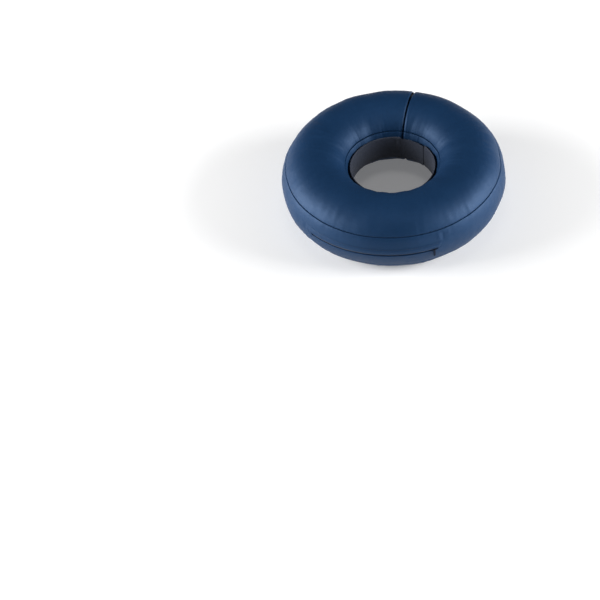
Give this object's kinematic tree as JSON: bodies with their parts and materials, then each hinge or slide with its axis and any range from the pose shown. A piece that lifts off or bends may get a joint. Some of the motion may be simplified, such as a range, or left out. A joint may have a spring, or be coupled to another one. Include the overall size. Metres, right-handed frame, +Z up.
{
  "type": "inflatable ring collar",
  "caption": "Inflatable ring-shaped pet recovery collar with a zipped cloth cover, split and strapped at the back of the neck.",
  "frame": {"origin": "on the ring's axis, at the lowest point of its underside", "axes": "+Z up along the ring's axis, -Y towards the zip at the front, +Y towards the split, +X towards the zip's closed end"},
  "size_m": [0.37, 0.3715, 0.115],
  "materials": {
    "cover_cloth": "satin",
    "binding_tape": "matte",
    "strap_webbing": "matte",
    "fastener_tape": "matte",
    "zip_tape": "matte",
    "zip_teeth": "satin",
    "zip_metal": "satin",
    "bladder_film": "satin",
    "valve_plastic": "satin"
  },
  "bodies": {
    "front": {"outer_band_front": "cover_cloth", "cover_top_front": "cover_cloth", "neck_lining_front": "cover_cloth", "cover_bottom_front": "cover_cloth", "upper_seam_binding_front": "binding_tape", "lower_seam_binding_front": "binding_tape", "bladder_front": "bladder_film", "neck_band_front": "strap_webbing", "collar_loop_front": "strap_webbing", "zip_tape_upper": "zip_tape", "zip_tape_lower": "zip_tape", "zip_teeth_upper": "zip_teeth", "zip_teeth_lower": "zip_teeth", "zip_box_stop": "zip_metal", "zip_top_stop": "zip_metal", "zip_flap": "cover_cloth"},
    "right_arm": {"outer_band_right": "cover_cloth", "cover_top_right": "cover_cloth", "neck_lining_right": "cover_cloth", "cover_bottom_right": "cover_cloth", "upper_seam_binding_right": "binding_tape", "lower_seam_binding_right": "binding_tape", "bladder_right": "bladder_film", "neck_band_right": "strap_webbing", "collar_loop_right": "strap_webbing", "end_panel_right": "cover_cloth", "loop_patch": "fastener_tape", "valve_base": "valve_plastic", "valve_eyelet": "binding_tape"},
    "left_arm": {"outer_band_left": "cover_cloth", "cover_top_left": "cover_cloth", "neck_lining_left": "cover_cloth", "cover_bottom_left": "cover_cloth", "upper_seam_binding_left": "binding_tape", "lower_seam_binding_left": "binding_tape", "bladder_left": "bladder_film", "neck_band_left": "strap_webbing", "collar_loop_left": "strap_webbing", "end_panel_left": "cover_cloth"},
    "strap_tail": {"strap_tail": "strap_webbing", "hook_patch": "fastener_tape"},
    "zip_slider": {"zip_slider": "zip_metal"},
    "zip_pull": {"zip_pull": "zip_metal"},
    "valve_stem": {"valve_stem": "valve_plastic", "valve_check_flap": "valve_plastic"},
    "valve_plug": {"valve_plug": "valve_plastic"}
  },
  "joints": [
    {"name": "right_arm_open", "type": "hinge", "parent": "front", "child": "right_arm", "pos_m": [0.16108, -0.093, 0.0575], "axis": [0, 0, -1], "range_deg": [0, 25], "stiffness_Nm_per_rad": 1.5},
    {"name": "left_arm_open", "type": "hinge", "parent": "front", "child": "left_arm", "pos_m": [-0.16108, -0.093, 0.0575], "axis": [0, 0, 1], "range_deg": [0, 25], "stiffness_Nm_per_rad": 1.5},
    {"name": "strap_peel", "type": "hinge", "parent": "left_arm", "child": "strap_tail", "pos_m": [-0.002, 0.06727, 0.0575], "axis": [0, 0, -1], "range_deg": [0, 80]},
    {"name": "zip_slide", "type": "hinge", "parent": "front", "child": "zip_slider", "pos_m": [0, 0, 0.0575], "axis": [0, 0, -1], "range_deg": [0, 64]},
    {"name": "zip_pull_lift", "type": "hinge", "parent": "zip_slider", "child": "zip_pull", "pos_m": [0.10352, -0.15405, 0.0566], "axis": [-0.83, -0.5577, 0], "range_deg": [0, 90]},
    {"name": "valve_pull_out", "type": "slide", "parent": "right_arm", "child": "valve_stem", "axis": [0.3473, 0.6016, -0.7193], "range_m": [0, 0.008]},
    {"name": "valve_plug_flip", "type": "hinge", "parent": "valve_stem", "child": "valve_plug", "pos_m": [0.08772, 0.15193, 0.01996], "axis": [0.866, -0.5, 0], "range_deg": [0, 120]}
  ],
  "couplings": [
    {"joint": "left_arm_open", "follows": "right_arm_open", "ratio": 1}
  ]
}
